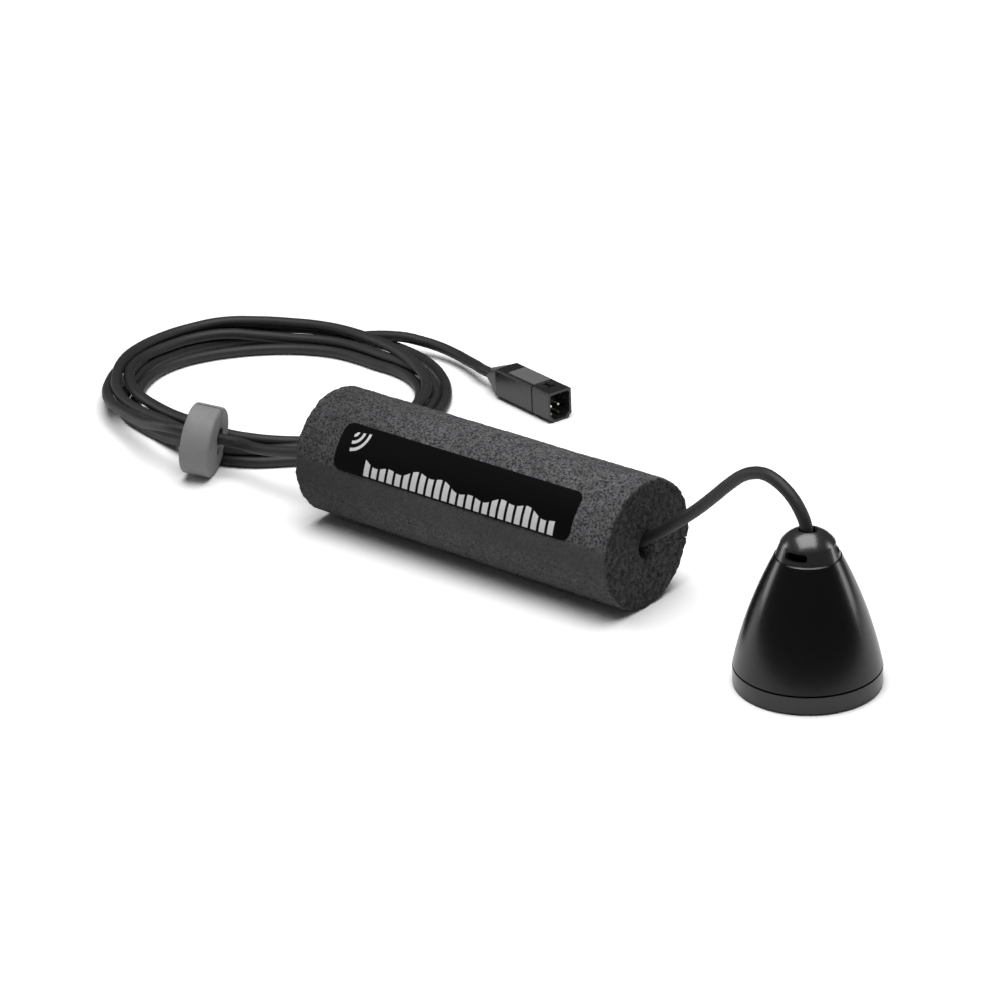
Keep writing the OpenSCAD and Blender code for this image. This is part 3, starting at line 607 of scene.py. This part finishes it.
def make_finishes():
    """The finish of each CAD node that isn't cable."""
    black_rubber = soft_rubber("seal_rubber", 0.02)
    insulation = moulded_plastic("lead_insulation", 0.05, 0.45, warm=0.1)
    ceramic = speckled("ceramic", (0.62, 0.58, 0.47, 1), (0.5, 0.46, 0.36, 1), 900.0, 0.35)
    cork = speckled("cork", (0.33, 0.19, 0.09, 1), (0.16, 0.08, 0.035, 1), 700.0, 0.8)
    resin = speckled("resin", (0.05, 0.042, 0.03, 1), (0.09, 0.075, 0.05, 1), 500.0, 0.25)
    bead = speckled("sensor_bead", (0.03, 0.03, 0.033, 1), (0.06, 0.055, 0.05, 1), 900.0, 0.3)
    board = speckled("board", (0.02, 0.13, 0.055, 1), (0.03, 0.2, 0.09, 1), 1200.0, 0.4)
    iron = speckled("ballast_iron", (0.12, 0.115, 0.11, 1), (0.06, 0.05, 0.045, 1), 500.0, 0.6)
    return {
        "cone_housing": housing_plastic(),
        "acoustic_face_cup": moulded_plastic("face_plastic", 0.02, 0.2, spread=0.06),
        "top_cap": moulded_plastic("cap_plastic", 0.03, 0.24, bump=0.04, dust=0.0, gloss=1.0),
        "gland_nut": moulded_plastic("nut_plastic", 0.02, 0.4),
        "face_seal": black_rubber,
        "cable_grommet": black_rubber,
        "piezo_disc": ceramic,
        "isolation_ring": cork,
        "backing_pad": cork,
        "potting_compound": resin,
        "disc_leads": insulation,
        "sensor_lead": insulation,
        "core_wires": insulation,
        "temperature_sensor": bead,
        "terminal_board": board,
        "solder_tabs": bright_metal("tinned_metal", (0.72, 0.71, 0.68, 1), 0.3),
        "cable_ferrule": bright_metal("ferrule_metal", (0.72, 0.71, 0.68, 1), 0.35),
        "ballast_weight": iron,
        "float_label": label_film(),
        "cable_stopper": soft_rubber("stopper_rubber", 0.3),
        "plug_boot": moulded_plastic("boot_plastic", 0.035, 0.4),
        "plug_body": moulded_plastic("plug_plastic", 0.018, 0.26, gloss=0.6),
        "plug_shroud": moulded_plastic("shroud_plastic", 0.02, 0.26, gloss=0.6),
        "plug_cover": moulded_plastic("cover_plastic", 0.17, 0.45),
        "plug_seal": soft_rubber("plug_seal_rubber", 0.03),
        "pin_block": moulded_plastic("pin_block_plastic", 0.02, 0.45),
        "contact_pins": bright_metal("pin_metal", (0.92, 0.88, 0.76, 1), 0.3),
    }


def dress_nodes(jacket):
    """Gives every CAD node its finish; the cable's nodes take the jacket."""
    finishes = make_finishes()
    for name, part in nodes.items():
        part.data.materials.clear()
        part.data.materials.append(finishes.get(name, jacket))


# Width of the rounded edges of moulded pieces, in millimetres
EDGE_WIDTHS = {
    "plug_body": 0.35, "plug_shroud": 0.35, "plug_cover": 0.5, "plug_boot": 0.35,
    "cone_housing": 0.2, "acoustic_face_cup": 0.25, "top_cap": 0.15,
}


def soften_edges():
    """Rounds the edges of the moulded pieces a little."""
    for name, width in EDGE_WIDTHS.items():
        edge = nodes[name].modifiers.new("soft_edges", "BEVEL")
        edge.width = width * MM
        edge.segments = 2
        edge.limit_method = "ANGLE"


# Floor and light

def floor_finish():
    """White to the camera; to the object it is pale nearby and dark further off."""
    material, tree, shader = start_material("pale_floor")
    path = tree.nodes.new("ShaderNodeLightPath").outputs
    place = tree.nodes.new("ShaderNodeTexCoord").outputs["Object"]
    reach = put(tree, "ShaderNodeVectorMath", {"operation": "DISTANCE"})
    tree.links.new(place, reach.inputs[0])
    reach.inputs[1].default_value = (-0.2, 0.1, 0.0)
    near = band(tree, reach.outputs["Value"], 0.25, 0.55, 1.0, 0.0)
    far = band(tree, near, 0.0, 1.0, 1.0, 0.0)
    pale = blend(tree, path["Is Glossy Ray"], grey(0.85), grey(1.15))
    bounce = blend(tree, near, grey(0.12), pale)
    tree.nodes.remove(shader)
    tone = blend(tree, path["Is Camera Ray"], bounce, grey(1.45))
    matt = put(tree, "ShaderNodeBsdfDiffuse", Color=tone)
    shown = sum_of(tree, "MULTIPLY", path["Is Camera Ray"], far)
    glow = put(tree, "ShaderNodeEmission", Color=(1, 1, 1, 1), Strength=shown)
    both = put(tree, "ShaderNodeAddShader")
    tree.links.new(matt.outputs[0], both.inputs[0])
    tree.links.new(glow.outputs[0], both.inputs[1])
    tree.links.new(both.outputs[0], tree.nodes["Material Output"].inputs["Surface"])
    return material


def lay_floor():
    """A wide floor under the object."""
    mesh = bmesh.new()
    bmesh.ops.create_grid(mesh, x_segments=1, y_segments=1, size=6.0)
    data = bpy.data.meshes.new("floor")
    mesh.to_mesh(data)
    mesh.free()
    data.materials.append(floor_finish())
    floor = bpy.data.objects.new("floor", data)
    bpy.context.scene.collection.objects.link(floor)


def add_panel(name, place, aim, width, height, radiance):
    """A soft light panel; its brightness is given as radiance."""
    light = bpy.data.lights.new(name, "AREA")
    light.shape = "RECTANGLE"
    light.size = width
    light.size_y = height
    light.energy = radiance * math.pi * width * height
    panel = bpy.data.objects.new(name, light)
    panel.location = place
    panel.rotation_euler = (Vector(aim) - Vector(place)).to_track_quat("-Z", "Y").to_euler()
    bpy.context.scene.collection.objects.link(panel)
    return panel


def light_studio():
    """A softbox overhead, a panel to each side that only shows in reflections, and a low fill."""
    middle = (-0.18, 0.06, 0.02)
    add_panel("softbox_above", (-0.1, -0.02, 1.25), middle, 1.2, 1.2, 3.7)
    for name, place in (("panel_right", (0.66, 0.9, 0.3)), ("panel_left", (-1.2, -0.3, 0.3))):
        panel = add_panel(name, place, (0, 0, 0.03), 0.32, 0.8, 3.6)
        panel.visible_diffuse = False
    world = bpy.data.worlds.new("studio")
    bpy.context.scene.world = world
    world.use_nodes = True
    tree = world.node_tree
    backdrop = tree.nodes["Background"]
    path = tree.nodes.new("ShaderNodeLightPath")
    backdrop.inputs["Color"].default_value = (1, 1, 1, 1)
    level = band(tree, path.outputs["Is Camera Ray"], 0.0, 1.0, 0.06, 1.0)
    tree.links.new(level, backdrop.inputs["Strength"])
    bpy.context.scene.view_settings.view_transform = "Standard"


place_camera()
cable = lay_cable()
foam = shape_float()
jacket = cable_jacket()
cable.data.materials.append(jacket)
foam.data.materials.append(closed_cell_foam())
dress_nodes(jacket)
soften_edges()
lay_floor()
light_studio()

bpy.context.view_layer.update()
